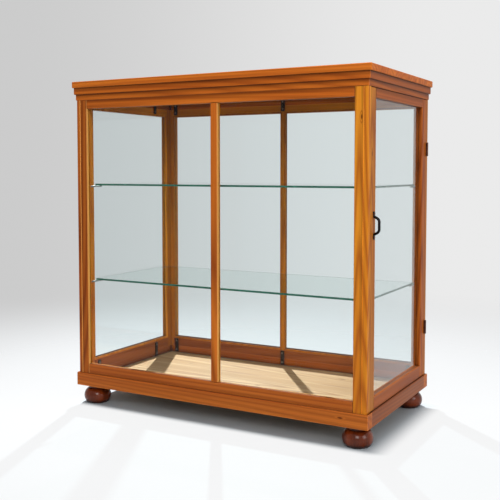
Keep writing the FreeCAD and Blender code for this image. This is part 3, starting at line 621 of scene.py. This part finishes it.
STRAP_BROWN = (tone(34, 27, 24), tone(62, 48, 40))
WORN_GREY = (tone(104, 92, 80), tone(142, 128, 112))
HINGE_BROWN = (tone(66, 34, 22), tone(92, 52, 34))
LACQUER = (tone(12, 12, 13), tone(27, 27, 29))
BRONZE = (tone(86, 48, 28), tone(124, 74, 44))
PIN_GREY = (tone(120, 122, 120), tone(156, 158, 155))
strap_steel = metal("strap_steel", STRAP_BROWN, gloss=0.4, metallic=0.5)
hinge_steel = metal("hinge_steel", HINGE_BROWN, gloss=0.38, metallic=0.5)
METALS = {
    "base_straps": strap_steel,
    "cornice_straps": strap_steel,
    "strap_screws": metal("worn_steel", WORN_GREY, gloss=0.34, metallic=0.6),
    "hinge_case_leaves": hinge_steel,
    "hinge_door_leaves": hinge_steel,
    "hinge_pins": hinge_steel,
    "hinge_case_screws": hinge_steel,
    "hinge_door_screws": hinge_steel,
    "door_handle": metal("black_iron", LACQUER, gloss=0.24, metallic=0.85),
    "handle_screws": metal("bronzed_screw", BRONZE, gloss=0.34, metallic=0.7),
    "shelf_pins": metal("dull_steel", PIN_GREY, gloss=0.32, metallic=1.0),
}
for node, finish in METALS.items():
    dress(node, finish)
print(f"{len(METALS)} metal pieces finished")

# %% [markdown]
# Studio floor
#
# The case stands on a white sweep. A wall would hide the case in views from behind, so there is
# only a round floor, which fades out towards its rim and shows the pale air of the world there.
# Under the case the floor is cool grey paper that takes its shadow; away from the case it goes over
# to white for the rays that look at it. Rays that only light the case see the grey paper.

# %% Floor
FLOOR_RADIUS = 5.0
PAPER_GREY = (0.45, 0.5, 0.54, 1.0)
PAPER_ROUGHNESS = 0.7
FOOTPRINT_INSET = (0.03, 0.022)
ENDS_EASED = (0.5, 1.0, 1.0)
WHITE_REACH = (0.0, 0.04)
WHITE_SHARE = 0.86
SWEEP_BACK = (-0.485, 0.874, 0.0)
SWEEP_SPAN = (-0.1, 2.4)
SWEEP_TONES = (1.0, 0.69)
RIM_SPAN = (0.7, 2.8)
NOT_SCATTERED = 0.5


def looking_rays(tree):
    """One for rays that see the studio, straight, mirrored or through glass, or else zero."""
    rays = add(tree, "LightPath").outputs
    mirrored = calc(tree, "MAXIMUM", rays["Is Camera Ray"], rays["Is Glossy Ray"])
    looking = calc(tree, "MAXIMUM", mirrored, rays["Is Transmission Ray"])
    unlit = calc(tree, "LESS_THAN", rays["Diffuse Depth"], NOT_SCATTERED)
    return calc(tree, "MULTIPLY", looking, unlit)


def white_share(tree, place):
    """Zero under the case, and up to its limit a few centimetres away from it."""
    half_length, half_depth = (cad_box[1][axis] - FOOTPRINT_INSET[axis] for axis in (0, 1))
    sides = vector_calc(tree, "ABSOLUTE", place)
    beyond = vector_calc(tree, "SUBTRACT", sides, (half_length, half_depth, 0.0))
    outside = vector_calc(tree, "MAXIMUM", beyond, (0.0, 0.0, 0.0))
    away = vector_calc(tree, "LENGTH", vector_calc(tree, "MULTIPLY", outside, ENDS_EASED))
    return ranged(tree, away, WHITE_REACH, (0.0, WHITE_SHARE), smooth=True)


bpy.ops.mesh.primitive_circle_add(vertices=96, radius=FLOOR_RADIUS, fill_type="NGON")
floor = bpy.context.object
floor.name = "studio_floor"
paper, tree, shader = new_finish("studio_paper")
feed(tree, shader, {"Base Color": PAPER_GREY, "Roughness": PAPER_ROUGHNESS})
place = add(tree, "TexCoord").outputs["Object"]
backward = vector_calc(tree, "DOT_PRODUCT", place, SWEEP_BACK)
white = ranged(tree, backward, SWEEP_SPAN, SWEEP_TONES)
glow = add(tree, "Emission", {"Color": white, "Strength": 1.0}).outputs[0]
seen_share = calc(tree, "MULTIPLY", white_share(tree, place), looking_rays(tree))
lit = add(tree, "MixShader", {0: seen_share, 1: shader.outputs["BSDF"], 2: glow}).outputs[0]
rim = ranged(tree, vector_calc(tree, "LENGTH", place), RIM_SPAN, smooth=True)
gone = add(tree, "BsdfTransparent").outputs["BSDF"]
faded = add(tree, "MixShader", {0: rim, 1: lit, 2: gone}).outputs[0]
feed(tree, tree.nodes["Material Output"], {"Surface": faded})
floor.data.materials.append(paper)
print(f"floor of {FLOOR_RADIUS * 2:.0f} m laid")

# %% [markdown]
# Air
#
# Beyond the floor's rim the world itself is the backdrop. It is a shade darker on the left, as the
# real backdrop is. Only rays that look at it see that; for all others it is a weak, even sky.

# %% Air
SKY_TINT = (0.97, 0.98, 1.0, 1.0)
SKY_STRENGTH = 0.38
SWEEP_RIGHT = (0.874, 0.485, 0.0)
AIR_SPAN = (-0.3, 0.25)
AIR_TONES = (0.60, 0.83)
world = bpy.data.worlds.new("studio_air")
world.use_nodes = True
bpy.context.scene.world = world
tree = world.node_tree
sky = tree.nodes["Background"]
feed(tree, sky, {"Color": SKY_TINT, "Strength": SKY_STRENGTH})
way = add(tree, "TexCoord").outputs["Generated"]
rightward = vector_calc(tree, "DOT_PRODUCT", way, SWEEP_RIGHT)
shade = ranged(tree, rightward, AIR_SPAN, AIR_TONES, smooth=True)
backdrop = add(tree, "Background", {"Color": shade, "Strength": 1.0}).outputs[0]
air = add(tree, "MixShader", {0: looking_rays(tree), 1: sky.outputs[0], 2: backdrop}).outputs[0]
feed(tree, tree.nodes["World Output"], {"Surface": air})
print(f"pale air set, with a sky of {SKY_STRENGTH}")

# %% [markdown]
# Lamps
#
# A broad lamp overhead throws the soft shadow under the base, a broad one beside the camera lights
# the face of the case, and a weak one at the right fills its end. A small lamp behind the case, on
# the left, shines through the panes: it draws the fan of bars on the floor and the two bands across
# the floor panel. The panes let lamp light through to shadow rays, so the lamps are hidden from
# bent rays, which would bring the same light in a second time. In a studio, black cards would keep
# the small lamp off the top and the back of the case, which it would burn out, and out of the
# glass; here it is linked to the other pieces and the floor alone.

# %% Lamps
MIDDLE = (0.0, 0.0, 0.5)
FLOOR_IN_FRONT = (0.3, -0.7, 0.0)
WHITE = (1.0, 1.0, 1.0)
WARM_WHITE = (1.0, 0.98, 0.95)
OUTSIDE = ("top_", "cornice_", "back_", "left_", "rear_", "base_back", "base_left")
GLASS = ("_glass", "_shelf")


def lamp(name, place, target, size, power, colour=WHITE):
    """A square lamp at a place that looks at a target."""
    data = bpy.data.lights.new(name, "AREA")
    data.shape = "SQUARE"
    data.size = size
    data.energy = power
    data.color = colour
    light = bpy.data.objects.new(name, data)
    bpy.context.scene.collection.objects.link(light)
    light.location = place
    light.rotation_euler = (Vector(target) - Vector(place)).to_track_quat("-Z", "Y").to_euler()
    light.visible_transmission = False
    return light


lamp("overhead", (0.0, -0.2, 3.2), MIDDLE, size=1.4, power=32.0)
lamp("front", (1.3, -2.9, 1.9), MIDDLE, size=1.2, power=40.0, colour=WARM_WHITE)
lamp("right_fill", (3.2, -0.8, 1.5), MIDDLE, size=1.4, power=28.0)
behind_left = lamp("behind_left", (-1.2, 1.76, 2.14), FLOOR_IN_FRONT, size=0.045, power=176.0)
lit_from_behind = bpy.data.collections.new("lit_from_behind")
lit_from_behind.objects.link(floor)
for node in nodes:
    if not node.startswith(OUTSIDE) and not node.endswith(GLASS):
        lit_from_behind.objects.link(nodes[node])
behind_left.light_linking.receiver_collection = lit_from_behind

# %% [markdown]
# Camera
#
# The camera stands a little to the right of the case at three quarters of its height and looks
# slightly down. The small shift keeps the case in the frame without tilting its uprights.

# %% Camera
LOOKS_DOWN = 0.05673
TURNED_LEFT = 0.50637
camera_data = bpy.data.cameras.new("catalogue_camera")
camera_data.sensor_width = 36.0
camera_data.lens = 59.74
camera_data.shift_y = -0.0656
camera = bpy.data.objects.new("catalogue_camera", camera_data)
bpy.context.scene.collection.objects.link(camera)
camera.location = (1.2962, -2.3473, 0.7630)
camera.rotation_euler = (math.pi / 2 - LOOKS_DOWN, 0.0, TURNED_LEFT)
bpy.context.scene.camera = camera
bpy.context.scene.view_settings.view_transform = "Standard"
print(f"camera with a {camera_data.lens:.1f} mm lens")
